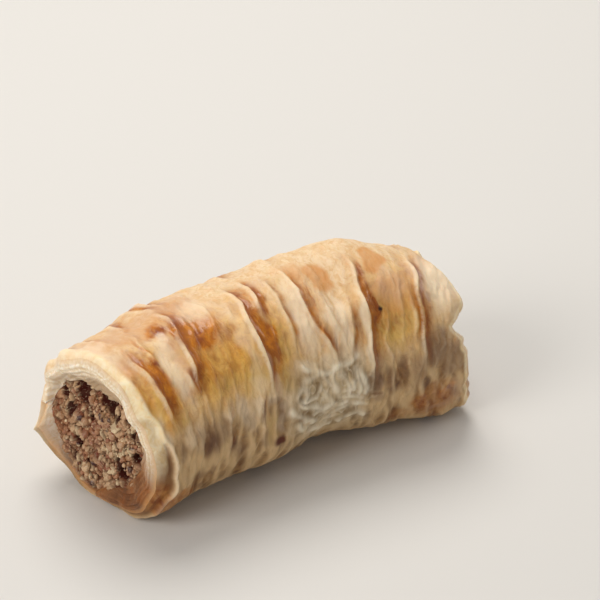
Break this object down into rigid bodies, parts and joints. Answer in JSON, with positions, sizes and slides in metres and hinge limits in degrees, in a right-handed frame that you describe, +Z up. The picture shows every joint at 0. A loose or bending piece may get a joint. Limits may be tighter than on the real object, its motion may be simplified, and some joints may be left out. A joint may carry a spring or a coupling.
{
  "type": "rolled baklava",
  "caption": "Finger-sized roll of crinkled filo pastry round a chopped walnut filling, gently bent, cut square at both ends and slightly flattened underneath.",
  "frame": {"origin": "middle of the bounding box's underside, which is what the roll lies on", "axes": "+X along the roll, from its open near cut end to its far end; +Z up; the hollow side of the bend faces -Y"},
  "size_m": [0.069, 0.0314, 0.0288],
  "materials": {
    "filo_pastry": "baked filo: dry cream ridges, amber syrup-soaked creases, translucent grey-beige sides",
    "chopped_walnut": "rough chopped walnut bound with syrup, tan pieces with dark reddish-brown gaps"
  },
  "bodies": {
    "root": {"filo_wrap": "filo_pastry", "nut_filling": "chopped_walnut"}
  },
  "joints": []
}
